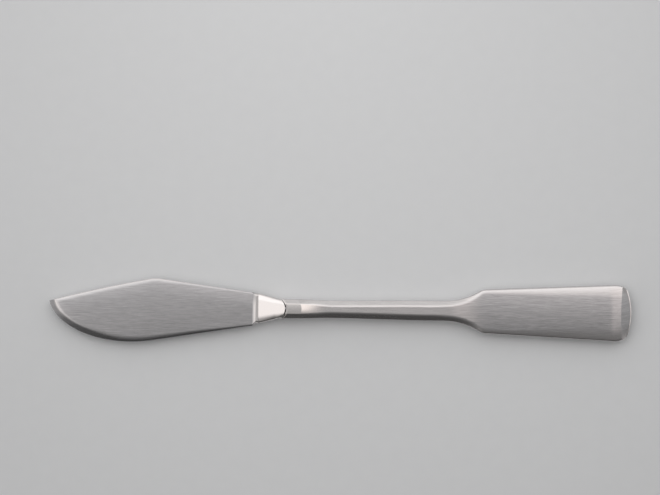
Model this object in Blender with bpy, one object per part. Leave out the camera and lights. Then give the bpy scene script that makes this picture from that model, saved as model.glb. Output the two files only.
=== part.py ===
"""Butter knife: a brushed steel blade, a polished bolster and a solid handle that ends in a flat spade.

The blade's round tang runs through the bolster and is brazed into a blind socket in the handle's neck.
Metres, +Z up. X runs from the tip to the handle's end and Y from the edge to the back. The knife lies
on its side, with the flat lands under the handle's neck at Z = 0.
"""

import math

import bmesh
import bpy
from mathutils import Vector
from mathutils.geometry import interpolate_bezier

# Blade outline, seen from above: setbacks run back from the tip, rises and drops from the knife's axis
BLADE_LENGTH = 0.0594
TIP_RISE = 0.0014
PEAK_SETBACK = 0.0307
PEAK_RISE = 0.00866
PEAK_RADIUS = 0.0100
FRONT_SPINE_BULGE = 0.0003
BELLY_SETBACK = 0.0234
BELLY_DROP = 0.0104
BELLY_FRONT_HEIGHT = 0.0139
BELLY_REAR_RADIUS = 0.0460
SHOULDER_WIDTH = 0.0092

# Blade thickness and rim: the sides roll over to a slope, and a bevel goes on from there to the outline
BLADE_THICKNESS = 0.0020
ROLL_SLOPE = 0.3
TIP_BEVEL = 0.0009
FRONT_BEVEL = 0.0018
FRONT_BEVEL_SLOPE = 0.42
FRONT_BEVEL_START = 0.0040
FRONT_BEVEL_END = 0.0130
REAR_BEVEL = 0.0004
REAR_BEVEL_SLOPE = 0.7
REAR_BEVEL_START = 0.0260
BELLY_ROLL = 0.0008
HEEL_ROLL = 0.0002
SPINE_BEVEL = 0.00015
TIP_SPINE_ROLL = 0.0012
SHOULDER_SPINE_ROLL = 0.0002
ROLL_STEPS = 3

# Collar: the short thick root of the blade, chamfered up from its sides
COLLAR_CHAMFER = 0.00085
COLLAR_LAND = 0.00065
COLLAR_THICKNESS = 0.0025
COLLAR_WIDTH = 0.0086
COLLAR_SIDE_ROUND = 0.0007
COLLAR_ROLL = 0.0005
COLLAR_LEAN = math.radians(60)
COLLAR_BITE = 0.0006
COLLAR_SINK = 0.00008

# Tang, and the joint that it makes
TANG_DIAMETER = 0.0018
TANG_REACH = 0.0165
TANG_POINT = 0.0004
BRAZE_WALL = 0.0003
JOINT_GAP = 0.0003

# Bolster and handle sections: each flat rolls over to a leaning facet, which meets an upright side
FACET_LEAN = math.radians(33)
FACET_ROLL = 0.0024
SIDE_CORNER = 0.0002

# Bolster: a flat ramp on each side climbs from the collar to the crest, and its back is rounded in plan
BOLSTER_LENGTH = 0.0077
BOLSTER_WAIST = 0.0047
BOLSTER_WAIST_WIDTH = 0.0060
CREST_WIDTH = 0.0054
CREST_THICKNESS = 0.0054
RAMP_FRONT_FLAT = 0.0048
RAMP_BACK_FLAT = 0.0020
SEAM_RADIUS = 0.0030

# Handle neck, with lengths run back from the handle's front face
LAND_LENGTH = 0.0045
LAND_FLAT = 0.0029
LAND_ROLL = 0.0015
NECK_FALL_LENGTH = 0.0080
NECK_WIDTH = 0.0052
NECK_THICKNESS = 0.00405
NECK_FLAT = 0.0014
NECK_LENGTH = 0.0418
NECK_REAR_WIDTH = 0.0060
NECK_REAR_THICKNESS = 0.0039

# Handle spade
FLARE_LENGTH = 0.0175
FLARE_SWEEP = 0.0110
FLARE_TURN = 0.0030
SPADE_FRONT_WIDTH = 0.0128
SPADE_LENGTH = 0.0385
SPADE_WIDTH = 0.0163
SPADE_THICKNESS = 0.0030
SPADE_RIM = 0.0011
SPADE_LEAN = math.radians(30)
SPADE_ROLL = 0.0014
BAND_LENGTH = 0.0027
BAND_SLOPE = 0.045
CHORD_RADIUS = 0.0360
END_LENGTH = 0.0030
END_RADIUS = 0.0190
END_SLOPE = 0.55
END_LEAN = math.radians(8)
END_CORNER = 0.0007

# How finely the curved stretches are drawn
ARC_STEPS = 6
FLAT_STEPS = 3
CORNER_STEPS = 2
BELLY_STEPS = 18
SIDE_STEPS = 8
NECK_STEPS = 14
FLARE_STEPS = 10
END_STEPS = 5
ROUND_SIDES = 24
MERGE = 0.000001

# Steel and braze: colour, roughness, metallic
BRUSHED_STEEL = ((0.56, 0.55, 0.54), 0.36, 1.0)
POLISHED_STEEL = ((0.66, 0.65, 0.64), 0.12, 1.0)
SATIN_STEEL = ((0.57, 0.56, 0.55), 0.32, 1.0)
SILVER_BRAZE = ((0.70, 0.64, 0.50), 0.50, 1.0)

# Places along the knife, from the tip
COLLAR_LENGTH = COLLAR_CHAMFER + COLLAR_LAND
BOLSTER_FRONT = BLADE_LENGTH + COLLAR_LENGTH + JOINT_GAP
HANDLE_FRONT = BOLSTER_FRONT + BOLSTER_LENGTH + JOINT_GAP
HANDLE_LENGTH = NECK_LENGTH + FLARE_LENGTH + SPADE_LENGTH + END_LENGTH
KNIFE_LENGTH = HANDLE_FRONT + HANDLE_LENGTH

# Radii of the joint, each one gap or wall outside the last
TANG_RADIUS = TANG_DIAMETER / 2
BORE_RADIUS = TANG_RADIUS + JOINT_GAP
BRAZE_RADIUS = BORE_RADIUS + BRAZE_WALL
SOCKET_RADIUS = BRAZE_RADIUS + JOINT_GAP
BRAZE_DEPTH = TANG_REACH + JOINT_GAP + BRAZE_WALL
SOCKET_DEPTH = BRAZE_DEPTH + JOINT_GAP

# The curved seam between bolster and handle, and how far it runs forward at their sides
SEAM_BOW = 1 / (2 * SEAM_RADIUS)
SEAM_DEPTH = SEAM_BOW * (CREST_WIDTH / 2) ** 2


def bezier_run(start, start_handle, end_handle, end, steps):
    """Points of one Bezier stretch in the XY plane, both ends included."""
    knots = [Vector((*point, 0.0)) for point in (start, start_handle, end_handle, end)]
    return [(point.x, point.y) for point in interpolate_bezier(*knots, steps + 1)]


def ease(start, end, share):
    """A value that leaves start and reaches end with no change of slope, and stays there."""
    share = min(max(share, 0.0), 1.0)
    return start + (end - start) * share * share * (3 - 2 * share)


def spine_points():
    """The back of the blade, from the tip over the rounded peak to the shoulder."""
    tip = Vector((0.0, TIP_RISE))
    peak = Vector((PEAK_SETBACK, PEAK_RISE))
    shoulder = Vector((BLADE_LENGTH, SHOULDER_WIDTH / 2))
    front = (peak - tip).normalized()
    rear = (shoulder - peak).normalized()
    turn = abs(front.angle_signed(rear))
    run_in = PEAK_RADIUS * math.tan(turn / 2)
    front_end = peak - front * run_in
    outward = Vector((-front.y, front.x))
    points = []
    for step in range(SIDE_STEPS):
        share = step / SIDE_STEPS
        bulge = 4 * FRONT_SPINE_BULGE * share * (1 - share)
        points.append(tuple(tip.lerp(front_end, share) + outward * bulge))
    centre = front_end - outward * PEAK_RADIUS
    start = math.atan2(outward.y, outward.x)
    for step in range(ARC_STEPS + 1):
        angle = start - turn * step / ARC_STEPS
        points.append(tuple(centre + PEAK_RADIUS * Vector((math.cos(angle), math.sin(angle)))))
    return points + [tuple(shoulder)]


def belly_points():
    """The edge of the blade, from the heel along its straight run and round the belly, tip left out."""
    heel = Vector((BLADE_LENGTH, -SHOULDER_WIDTH / 2))
    rear_centre = Vector((BELLY_SETBACK, BELLY_REAR_RADIUS - BELLY_DROP))
    to_heel = heel - rear_centre
    tangent = math.atan2(to_heel.y, to_heel.x) - math.acos(BELLY_REAR_RADIUS / to_heel.length)
    points = [tuple(heel)]
    for step in range(ARC_STEPS):
        angle = tangent + (-math.pi / 2 - tangent) * step / ARC_STEPS
        arm = BELLY_REAR_RADIUS * Vector((math.cos(angle), math.sin(angle)))
        points.append(tuple(rear_centre + arm))
    front_centre_rise = BELLY_FRONT_HEIGHT - BELLY_DROP
    tip_angle = math.asin((TIP_RISE - front_centre_rise) / BELLY_FRONT_HEIGHT)
    front_length = BELLY_SETBACK / math.cos(tip_angle)
    for step in range(BELLY_STEPS):
        angle = -math.pi / 2 + (tip_angle + math.pi / 2) * step / BELLY_STEPS
        x = BELLY_SETBACK - front_length * math.cos(angle)
        y = front_centre_rise + BELLY_FRONT_HEIGHT * math.sin(angle)
        points.append((x, y))
    return points


def belly_rim(x):
    """Widths of the bevel and of the roll along the edge, x back from the tip, and the bevel's slope."""
    fade = (x - FRONT_BEVEL_END) / (REAR_BEVEL_START - FRONT_BEVEL_END)
    bevel = ease(TIP_BEVEL, FRONT_BEVEL, x / FRONT_BEVEL_START) + ease(0, REAR_BEVEL - FRONT_BEVEL, fade)
    roll = ease(BELLY_ROLL, HEEL_ROLL, (x - REAR_BEVEL_START) / (BLADE_LENGTH - REAR_BEVEL_START))
    return bevel, roll, ease(FRONT_BEVEL_SLOPE, REAR_BEVEL_SLOPE, fade)


def spine_rim(x):
    """The same along the back."""
    roll = TIP_SPINE_ROLL + (SHOULDER_SPINE_ROLL - TIP_SPINE_ROLL) * x / BLADE_LENGTH
    return SPINE_BEVEL, roll, REAR_BEVEL_SLOPE


def inset(outline, widths):
    """A clockwise outline moved inwards by a width at each of its points, with mitred corners."""
    points = [Vector(point) for point in outline]
    moved = []
    for i, point in enumerate(points):
        before = (point - points[i - 1]).normalized()
        after = (points[(i + 1) % len(points)] - point).normalized()
        inward = Vector((before.y, -before.x)) + Vector((after.y, -after.x))
        moved.append(point + inward * widths[i] / (1 + before.dot(after)))
    return moved


def section(x, half_width, half_height, half_flat, roll, lean, bow=0.0):
    """One ring across the knife: flats that roll over to leaning facets, and upright sides.

    The ring lies square across the knife, or runs forward by bow times the squared distance from the axis.
    """
    quarter = [(half_flat * step / FLAT_STEPS, half_height) for step in range(FLAT_STEPS)]
    for step in range(ROLL_STEPS + 1):
        turn = lean * step / ROLL_STEPS
        quarter.append((half_flat + roll * math.sin(turn), half_height - roll * (1 - math.cos(turn))))
    y, z = quarter[-1]
    facet_width = half_width - y - SIDE_CORNER * (1 - math.sin(lean))
    y += facet_width
    z -= facet_width * math.tan(lean)
    for step in range(CORNER_STEPS + 1):
        turn = lean + (math.pi / 2 - lean) * step / CORNER_STEPS
        out = SIDE_CORNER * (math.sin(turn) - math.sin(lean))
        down = SIDE_CORNER * (math.cos(lean) - math.cos(turn))
        quarter.append((y + out, z - down))
    top = [(-y, z) for y, z in quarter[:0:-1]] + quarter
    bottom = [(y, -z) for y, z in reversed(top)]
    return [Vector((x - bow * y * y, y, z)) for y, z in top + bottom]


def loft(rings):
    """A closed mesh through rings of equal count, with each end filled by strips from top to bottom."""
    shape = bmesh.new()
    loops = [[shape.verts.new(point) for point in ring] for ring in rings]
    count = len(loops[0])
    half = count // 2
    for near, far in zip(loops, loops[1:]):
        for i in range(count):
            j = (i + 1) % count
            shape.faces.new((near[i], near[j], far[j], far[i]))
    for loop in (loops[0], loops[-1]):
        top = loop[:half]
        under = loop[:half - 1:-1]
        for i in range(half - 1):
            shape.faces.new((top[i], top[i + 1], under[i + 1], under[i]))
    bmesh.ops.recalc_face_normals(shape, faces=shape.faces)
    return shape


def add_object(name, shape, collection, x=0.0):
    """Put a bmesh into the scene as an object on the knife's axis, x back from the tip."""
    mesh = bpy.data.meshes.new(name)
    shape.to_mesh(mesh)
    shape.free()
    obj = bpy.data.objects.new(name, mesh)
    collection.objects.link(obj)
    obj.parent = axis
    obj.location.x = x
    if collection == cutters:
        obj.hide_render = True
        obj.display_type = 'WIRE'
    return obj


def add_material(obj, name, finish):
    colour, roughness, metallic = finish
    material = bpy.data.materials.new(name)
    material.use_nodes = True
    shader = material.node_tree.nodes["Principled BSDF"]
    shader.inputs["Base Color"].default_value = (*colour, 1.0)
    shader.inputs["Roughness"].default_value = roughness
    shader.inputs["Metallic"].default_value = metallic
    obj.data.materials.append(material)


def shade(obj, angle=math.radians(30)):
    obj.data.shade_smooth()
    obj.data.set_sharp_from_angle(angle=angle)


def combine(obj, other, operation):
    boolean = obj.modifiers.new(operation.lower(), 'BOOLEAN')
    boolean.operation = operation
    boolean.object = other
    boolean.solver = 'EXACT'


def turned(profile):
    """A round shape about the knife's axis, from (x, radius) points that start and end on that axis."""
    shape = bmesh.new()
    vertices = [shape.verts.new((x, 0.0, radius)) for x, radius in profile]
    for near, far in zip(vertices, vertices[1:]):
        shape.edges.new((near, far))
    outline = shape.verts[:] + shape.edges[:]
    bmesh.ops.spin(
        shape, geom=outline, cent=(0, 0, 0), axis=(1, 0, 0), angle=math.tau, steps=ROUND_SIDES, use_merge=True
    )
    bmesh.ops.remove_doubles(shape, verts=shape.verts, dist=MERGE)
    bmesh.ops.recalc_face_normals(shape, faces=shape.faces)
    return shape


def round_bar(radius, length):
    return turned([(0.0, 0.0), (0.0, radius), (length, radius), (length, 0.0)])


def make_blade():
    """The flat blade with its bevelled rim, its collar and its tang."""
    tongue_half = (SHOULDER_WIDTH - 2 * COLLAR_BITE) / 2
    tongue_end = BLADE_LENGTH + COLLAR_BITE
    spine = spine_points() + [(tongue_end, tongue_half), (tongue_end, -tongue_half)]
    belly = belly_points()
    outline = spine + belly
    rims = [spine_rim(min(x, BLADE_LENGTH)) for x, y in spine] + [belly_rim(x) for x, y in belly]
    layers = [[(0.0, slope * bevel + ROLL_SLOPE * roll / 2) for bevel, roll, slope in rims]]
    for step in range(ROLL_STEPS + 1):
        left = 1 - step / ROLL_STEPS
        layer = []
        for bevel, roll, slope in rims:
            layer.append((bevel + roll * (1 - left), ROLL_SLOPE * roll / 2 * left ** 2))
        layers.append(layer)
    shape = bmesh.new()
    sides = []
    for side in (-1, 1):
        loops = []
        for layer in layers:
            line = inset(outline, [width for width, fall in layer])
            loop = []
            for point, (width, fall) in zip(line, layer):
                loop.append(shape.verts.new((point.x, point.y, side * (BLADE_THICKNESS / 2 - fall))))
            loops.append(loop)
        shape.faces.new(loops[-1])
        sides.append(loops)
    under, over = sides
    strips = list(zip(under, under[1:])) + list(zip(over, over[1:])) + [(under[0], over[0])]
    for near, far in strips:
        for i in range(len(outline)):
            j = (i + 1) % len(outline)
            shape.faces.new((near[i], near[j], far[j], far[i]))
    bmesh.ops.recalc_face_normals(shape, faces=shape.faces)
    blade = add_object("blade", shape, parts)

    collar_half = COLLAR_WIDTH / 2
    shoulder_half = SHOULDER_WIDTH / 2
    foot = BLADE_THICKNESS / 2 - COLLAR_SINK
    rings = []
    for x, half_width, half_height in (
        (-COLLAR_BITE, shoulder_half - COLLAR_BITE, foot),
        (0.0, shoulder_half - COLLAR_SINK, foot),
        (COLLAR_CHAMFER, collar_half, COLLAR_THICKNESS / 2),
        (COLLAR_LENGTH, collar_half, COLLAR_THICKNESS / 2),
    ):
        half_flat = half_width - COLLAR_SIDE_ROUND
        rings.append(section(x, half_width, half_height, half_flat, COLLAR_ROLL, COLLAR_LEAN))
    collar = add_object("collar_body", loft(rings), cutters, BLADE_LENGTH)
    combine(blade, collar, 'UNION')

    tang_start = BLADE_LENGTH + COLLAR_CHAMFER
    tang_length = HANDLE_FRONT + TANG_REACH - tang_start
    shape = turned(
        [
            (0.0, 0.0),
            (0.0, TANG_RADIUS),
            (tang_length - TANG_POINT, TANG_RADIUS),
            (tang_length, TANG_RADIUS - TANG_POINT),
            (tang_length, 0.0),
        ]
    )
    tang = add_object("tang_body", shape, cutters, tang_start)
    combine(blade, tang, 'UNION')
    shade(blade)
    add_material(blade, "brushed_blade_steel", BRUSHED_STEEL)


def make_bolster():
    """The ramped ferrule between collar and handle, bored for the tang."""
    collar_half = COLLAR_WIDTH / 2
    front = (0.0, collar_half)
    waist = (BOLSTER_WAIST, BOLSTER_WAIST_WIDTH / 2)
    back = (BOLSTER_LENGTH, CREST_WIDTH / 2)
    slope = (front[1] - waist[1]) / BOLSTER_WAIST
    reach = (BOLSTER_LENGTH - BOLSTER_WAIST) / 2
    turn = (waist[0] + reach / 2, waist[1] - slope * reach / 2)
    outline = [front] + bezier_run(waist, turn, (back[0] - reach, back[1]), back, SIDE_STEPS)
    rings = []
    for x, half_width in outline:
        share = x / BOLSTER_LENGTH
        half_height = (COLLAR_THICKNESS + (CREST_THICKNESS - COLLAR_THICKNESS) * share) / 2
        half_flat = (RAMP_FRONT_FLAT + (RAMP_BACK_FLAT - RAMP_FRONT_FLAT) * share) / 2
        bow = SEAM_BOW * max(x - BOLSTER_WAIST, 0.0) / (BOLSTER_LENGTH - BOLSTER_WAIST)
        rings.append(section(x, half_width, half_height, half_flat, FACET_ROLL, FACET_LEAN, bow))
    bolster = add_object("bolster", loft(rings), parts, BOLSTER_FRONT)
    bore_length = BOLSTER_LENGTH + 2 * JOINT_GAP
    bore_bar = round_bar(BORE_RADIUS, bore_length)
    bore = add_object("bolster_bore", bore_bar, cutters, BOLSTER_FRONT - JOINT_GAP)
    combine(bolster, bore, 'DIFFERENCE')
    shade(bolster)
    add_material(bolster, "polished_bolster_steel", POLISHED_STEEL)


def make_braze():
    """The cup of braze between the tang and its socket, turned about the tang's axis."""
    floor = BRAZE_DEPTH - BRAZE_WALL
    shape = turned(
        [
            (floor, 0.0),
            (floor, BORE_RADIUS),
            (JOINT_GAP, BORE_RADIUS),
            (JOINT_GAP, BRAZE_RADIUS),
            (BRAZE_DEPTH, BRAZE_RADIUS),
            (BRAZE_DEPTH, 0.0),
        ]
    )
    braze = add_object("tang_braze", shape, parts, HANDLE_FRONT)
    shade(braze)
    add_material(braze, "silver_braze", SILVER_BRAZE)


def handle_rings():
    """Sections of the handle, from its front face to the curved end of the spade."""
    rings = []
    land = (CREST_WIDTH / 2, CREST_THICKNESS / 2, LAND_FLAT / 2, LAND_ROLL, FACET_LEAN, SEAM_BOW)
    for x in (0.0, LAND_LENGTH):
        rings.append(section(x, *land))

    fall_end = LAND_LENGTH + NECK_FALL_LENGTH
    for step in range(1, NECK_STEPS + 1):
        share = step / NECK_STEPS
        rings.append(
            section(
                LAND_LENGTH + NECK_FALL_LENGTH * share,
                ease(CREST_WIDTH, NECK_WIDTH, share) / 2,
                (NECK_THICKNESS + (CREST_THICKNESS - NECK_THICKNESS) * (1 - share) ** 2) / 2,
                (LAND_FLAT + (NECK_FLAT - LAND_FLAT) * share) / 2,
                LAND_ROLL + (FACET_ROLL - LAND_ROLL) * share,
                FACET_LEAN,
                SEAM_BOW * (1 - share),
            )
        )
    for step in range(1, NECK_STEPS + 1):
        share = step / NECK_STEPS
        rings.append(
            section(
                fall_end + (NECK_LENGTH - fall_end) * share,
                ease(NECK_WIDTH, NECK_REAR_WIDTH, share) / 2,
                ease(NECK_THICKNESS, NECK_REAR_THICKNESS, share) / 2,
                NECK_FLAT / 2,
                FACET_ROLL,
                FACET_LEAN,
            )
        )

    flare_end = NECK_LENGTH + FLARE_LENGTH
    side_slope = (SPADE_WIDTH - SPADE_FRONT_WIDTH) / 2 / SPADE_LENGTH
    flare = bezier_run(
        (NECK_LENGTH, NECK_REAR_WIDTH / 2),
        (NECK_LENGTH + FLARE_SWEEP, NECK_REAR_WIDTH / 2),
        (flare_end - FLARE_TURN, SPADE_FRONT_WIDTH / 2 - side_slope * FLARE_TURN),
        (flare_end, SPADE_FRONT_WIDTH / 2),
        FLARE_STEPS,
    )
    for x, half_width in flare[1:]:
        share = (x - NECK_LENGTH) / FLARE_LENGTH
        rings.append(
            section(
                x,
                half_width,
                ease(NECK_REAR_THICKNESS, SPADE_THICKNESS, share) / 2,
                ease(NECK_FLAT / 2, half_width - SPADE_RIM, share),
                ease(FACET_ROLL, SPADE_ROLL, share),
                ease(FACET_LEAN, SPADE_LEAN, share),
            )
        )

    chord_x = flare_end + SPADE_LENGTH
    chord_half_width = SPADE_WIDTH / 2
    chord_half_height = SPADE_THICKNESS / 2 - BAND_SLOPE * BAND_LENGTH
    chord_bow = -1 / (2 * CHORD_RADIUS)
    band_half_width = chord_half_width - side_slope * BAND_LENGTH
    band_flat = band_half_width - SPADE_RIM
    band_x = chord_x - BAND_LENGTH
    rings.append(section(band_x, band_half_width, SPADE_THICKNESS / 2, band_flat, SPADE_ROLL, SPADE_LEAN))
    for step in range(END_STEPS + 1):
        share = step / END_STEPS
        half_width = chord_half_width - END_CORNER * share * share
        drop = END_LENGTH * (BAND_SLOPE * share + (END_SLOPE - BAND_SLOPE) * share * share / 2)
        rings.append(
            section(
                chord_x + END_LENGTH * share,
                half_width,
                chord_half_height - drop,
                half_width - SPADE_RIM,
                SPADE_ROLL,
                SPADE_LEAN + (END_LEAN - SPADE_LEAN) * share,
                chord_bow + (1 / (2 * END_RADIUS) - chord_bow) * share,
            )
        )
    return rings


def make_handle():
    """The solid handle with the blind socket in the front of its neck."""
    handle = add_object("handle", loft(handle_rings()), parts, HANDLE_FRONT)
    mouth = SEAM_DEPTH + JOINT_GAP
    socket_bar = round_bar(SOCKET_RADIUS, mouth + SOCKET_DEPTH)
    socket = add_object("handle_socket", socket_bar, cutters, HANDLE_FRONT - mouth)
    combine(handle, socket, 'DIFFERENCE')
    shade(handle)
    add_material(handle, "satin_handle_steel", SATIN_STEEL)


for old in list(bpy.data.objects):
    bpy.data.objects.remove(old, do_unlink=True)

parts = bpy.data.collections.new("butter_knife")
cutters = bpy.data.collections.new("cutters")
for group in (parts, cutters):
    bpy.context.scene.collection.children.link(group)

# The knife's axis runs at half the crest's thickness, with the outline's middle over the origin
heights = [y for _, y in spine_points() + belly_points()] + [SPADE_WIDTH / 2, -SPADE_WIDTH / 2]
axis = bpy.data.objects.new("knife_axis", None)
axis.location = (-KNIFE_LENGTH / 2, -(max(heights) + min(heights)) / 2, CREST_THICKNESS / 2)
parts.objects.link(axis)

make_blade()
make_bolster()
make_braze()
make_handle()
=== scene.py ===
"""Looks of a butter knife: a brushed blade, a buffed bolster and a solid handle that ends in a flat spade.

Metres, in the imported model's frame: X from the tip to the handle's end, Y from the edge to the back, Z up.
"""

import math

import bmesh
import bpy
import numpy as np
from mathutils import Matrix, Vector


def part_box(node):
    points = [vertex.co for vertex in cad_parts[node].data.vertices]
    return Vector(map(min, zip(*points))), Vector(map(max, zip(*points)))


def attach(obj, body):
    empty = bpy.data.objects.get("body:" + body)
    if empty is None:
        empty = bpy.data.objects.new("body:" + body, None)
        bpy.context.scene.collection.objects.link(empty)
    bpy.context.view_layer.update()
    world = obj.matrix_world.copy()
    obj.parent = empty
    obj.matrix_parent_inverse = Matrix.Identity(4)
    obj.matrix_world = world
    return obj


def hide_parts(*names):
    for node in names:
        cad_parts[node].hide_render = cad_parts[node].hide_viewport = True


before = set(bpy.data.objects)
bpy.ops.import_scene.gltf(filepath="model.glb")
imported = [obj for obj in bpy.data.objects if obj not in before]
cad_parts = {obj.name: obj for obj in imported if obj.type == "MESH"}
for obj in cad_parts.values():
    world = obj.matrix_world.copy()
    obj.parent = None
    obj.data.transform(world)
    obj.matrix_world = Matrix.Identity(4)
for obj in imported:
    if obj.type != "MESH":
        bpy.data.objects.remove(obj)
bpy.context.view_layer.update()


# Blade
# One piece of stainless steel: a flat blade, a thicker collar and a round tang, hidden in the handle. It is
# blanked, ground slightly full across its width and brushed lengthwise on a belt. The rim is then rounded and
# bevelled, most along the front of the edge.

# Outline, measured back from the tip and out from the knife's axis
BLADE_LENGTH = 0.0594
TIP_RISE = 0.0014
PEAK_SETBACK = 0.0307
PEAK_RISE = 0.00851
PEAK_RADIUS = 0.0100
FRONT_SPINE_BULGE = 0.0003
BELLY_SETBACK = 0.0234
BELLY_DROP = 0.0102
BELLY_FRONT_HEIGHT = 0.0137
BELLY_REAR_RADIUS = 0.0460
SHOULDER_RISE = 0.0046
HEEL_DROP = 0.0050

# Thickness, and how both sides are ground full
BLADE_THICKNESS = 0.0020
BLADE_CROWN_RADIUS = 0.25
BACK_FULL_WIDTH = 0.0045
BACK_FULL_SLOPE = 0.05

# The rim rolls over to a slope, and a bevel goes on from there to the outline
BELLY_ROLL_SLOPE = 0.3
SPINE_ROLL_SLOPE = 0.18
TIP_BEVEL = 0.0015
FRONT_BEVEL = 0.0014
FRONT_BEVEL_SLOPE = 0.42
FRONT_BEVEL_START = 0.0040
FRONT_BEVEL_END = 0.0100
REAR_BEVEL = 0.00045
REAR_BEVEL_SLOPE = 0.5
REAR_BEVEL_START = 0.0260
HEEL_BEVEL = 0.00018
HEEL_BEVEL_START = 0.0400
SPINE_BEVEL = 0.00015
SPINE_BEVEL_SLOPE = 0.7

# How broad the roll is at some places behind the tip
BELLY_ROLLS = (
    (0.0, 0.0012),
    (0.0030, 0.0009),
    (0.0100, 0.0009),
    (0.0160, 0.0012),
    (0.0300, 0.0010),
    (BLADE_LENGTH, 0.0002),
)
SPINE_ROLLS = (
    (0.0, 0.0011),
    (PEAK_SETBACK, 0.0011),
    (0.0400, 0.0006),
    (BLADE_LENGTH, 0.0003),
)

# The rim is buffed where it has fallen this far, on the edge only near the tip, and not on the bevel
POLISHED_FALL = 0.00015
RIM_POLISH = 0.8
BELLY_POLISH_END = 0.0100

# The collar, which fills the seam in front of the bolster, and the tang
COLLAR_CHAMFER = 0.00085
COLLAR_LAND = 0.00065
COLLAR_WIDTH = 0.0088
COLLAR_THICKNESS = 0.0025
COLLAR_EDGE = 0.0004
COLLAR_SIDE_ROUND = 0.0007
SEAM_FILL = 0.0001
TANG_RADIUS = 0.0009
TANG_POINT = 0.0004

# How finely the mesh is drawn
FRONT_CURVE_POINTS = 300
PEAK_POINTS = 60
REAR_CURVE_POINTS = 200
OUTLINE_POINTS = 500
BLADE_ROWS = 260
ROW_CROWDING = 1.5
FIELD_COLUMNS = 24
BEVEL_STEPS = 3
ROLL_STEPS = 9
MITRE_STEPS = 200
SHARP_ANGLE = math.radians(9)
MERGE = 1e-7

blade_low, blade_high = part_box("blade")
bolster_low, bolster_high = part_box("bolster")
# Where the knife's axis, along X through the middle of the bolster, starts at the tip
axis = Vector((blade_low.x, (bolster_low.y + bolster_high.y) / 2, (bolster_low.z + bolster_high.z) / 2))


def ease(start, end, share):
    """A value that leaves start and reaches end with no change of slope."""
    share = np.clip(share, 0.0, 1.0)
    return start + (end - start) * share * share * (3 - 2 * share)


def spine_line():
    """The back of the blade from the tip, over the rounded peak, to just past the shoulder."""
    tip = Vector((0.0, TIP_RISE))
    peak = Vector((PEAK_SETBACK, PEAK_RISE))
    shoulder = Vector((BLADE_LENGTH, SHOULDER_RISE))
    front = (peak - tip).normalized()
    rear = (shoulder - peak).normalized()
    turn = abs(front.angle_signed(rear))
    front_end = peak - front * PEAK_RADIUS * math.tan(turn / 2)
    outward = Vector((-front.y, front.x))
    centre = front_end - outward * PEAK_RADIUS
    points = []
    for share in np.linspace(0, 1, FRONT_CURVE_POINTS, endpoint=False):
        points.append(tip.lerp(front_end, share) + outward * 4 * FRONT_SPINE_BULGE * share * (1 - share))
    start = math.atan2(outward.y, outward.x)
    for angle in np.linspace(start, start - turn, PEAK_POINTS):
        points.append(centre + PEAK_RADIUS * Vector((math.cos(angle), math.sin(angle))))
    points.append(shoulder + rear * COLLAR_CHAMFER)
    return np.array(points)


def belly_line():
    """The edge from the tip, round the belly and along its straight run, to just past the heel."""
    centre_rise = BELLY_FRONT_HEIGHT - BELLY_DROP
    tip_angle = math.asin((TIP_RISE - centre_rise) / BELLY_FRONT_HEIGHT)
    front_length = BELLY_SETBACK / math.cos(tip_angle)
    points = []
    for angle in np.linspace(tip_angle, -math.pi / 2, FRONT_CURVE_POINTS, endpoint=False):
        x = BELLY_SETBACK - front_length * math.cos(angle)
        points.append((x, centre_rise + BELLY_FRONT_HEIGHT * math.sin(angle)))
    heel = Vector((BLADE_LENGTH, -HEEL_DROP))
    rear_centre = Vector((BELLY_SETBACK, BELLY_REAR_RADIUS - BELLY_DROP))
    to_heel = heel - rear_centre
    tangent = math.atan2(to_heel.y, to_heel.x) - math.acos(BELLY_REAR_RADIUS / to_heel.length)
    for angle in np.linspace(-math.pi / 2, tangent, REAR_CURVE_POINTS):
        points.append(rear_centre + BELLY_REAR_RADIUS * Vector((math.cos(angle), math.sin(angle))))
    run = (heel - Vector(points[-1])).normalized()
    points.append(heel + run * COLLAR_CHAMFER)
    return np.array(points)


def spread(line, count):
    """The same line drawn with evenly spaced points."""
    along = np.concatenate([[0.0], np.cumsum(np.linalg.norm(np.diff(line, axis=0), axis=1))])
    wanted = np.linspace(0, along[-1], count)
    return np.column_stack([np.interp(wanted, along, line[:, 0]), np.interp(wanted, along, line[:, 1])])


def inset(line, widths, side):
    """A line moved sideways by a width at each point: side 1 is to the left of its run, -1 to the right."""
    run = np.gradient(line, axis=0)
    run /= np.linalg.norm(run, axis=1)[:, None]
    left = np.column_stack([-run[:, 1], run[:, 0]])
    return line + side * left * widths[:, None]


def line_distance(points, line):
    """How far each point is from a line, and how far behind the tip the nearest spot on the line is."""
    runs = np.diff(line, axis=0)
    shares = ((points[:, None] - line[:-1]) * runs).sum(axis=2) / (runs ** 2).sum(axis=1)
    spots = line[:-1] + runs * np.clip(shares, 0, 1)[..., None]
    gaps = np.linalg.norm(points[:, None] - spots, axis=2)
    nearest = gaps.argmin(axis=1)
    each = np.arange(len(points))
    return gaps[each, nearest], spots[each, nearest, 0]


def belly_rim(x):
    """Widths of the bevel and of the roll along the edge, and the bevel's slope."""
    fade = (x - FRONT_BEVEL_END) / (REAR_BEVEL_START - FRONT_BEVEL_END)
    bevel = ease(TIP_BEVEL, FRONT_BEVEL, x / FRONT_BEVEL_START) + ease(0, REAR_BEVEL - FRONT_BEVEL, fade)
    heel = (x - HEEL_BEVEL_START) / (BLADE_LENGTH - HEEL_BEVEL_START)
    bevel += ease(0, HEEL_BEVEL - REAR_BEVEL, heel)
    slope = ease(FRONT_BEVEL_SLOPE, REAR_BEVEL_SLOPE, fade)
    return bevel, np.interp(x, *zip(*BELLY_ROLLS)), slope


def spine_rim(x):
    """The same along the back."""
    return np.full_like(x, SPINE_BEVEL), np.interp(x, *zip(*SPINE_ROLLS)), np.full_like(x, SPINE_BEVEL_SLOPE)


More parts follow.
